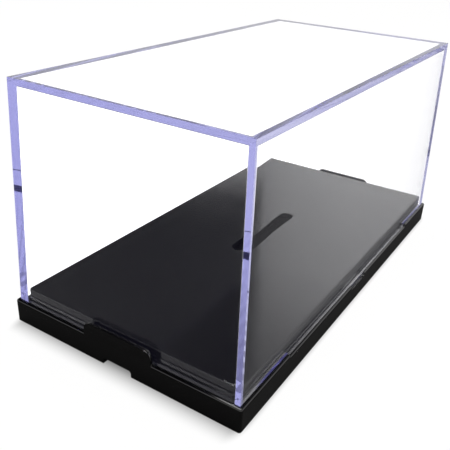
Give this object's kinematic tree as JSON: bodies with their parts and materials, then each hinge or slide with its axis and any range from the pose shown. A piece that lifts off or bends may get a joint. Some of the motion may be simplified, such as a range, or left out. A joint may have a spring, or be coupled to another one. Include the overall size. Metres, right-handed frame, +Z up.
{
  "type": "display case",
  "caption": "Clear box-shaped cover that lifts off a low black base with a raised deck and a screw slot, for showing a small scale model free of dust.",
  "frame": {"origin": "centre of the base's underside, on the table", "axes": "+X along the case's long side, +Y across it, +Z up; the picture looks at the -X end and the -Y side from above"},
  "size_m": [0.1522, 0.0806, 0.075],
  "materials": {
    "black_plastic": "glossy black moulded plastic",
    "clear_plastic": "polished clear plastic, faintly violet through its edges"
  },
  "bodies": {
    "base": {"base": "black_plastic"},
    "cover": {"cover": "clear_plastic"}
  },
  "joints": [
    {"name": "cover_lift", "type": "slide", "parent": "base", "child": "cover", "axis": [0, 0, 1], "range_m": [0, 0.08]}
  ]
}
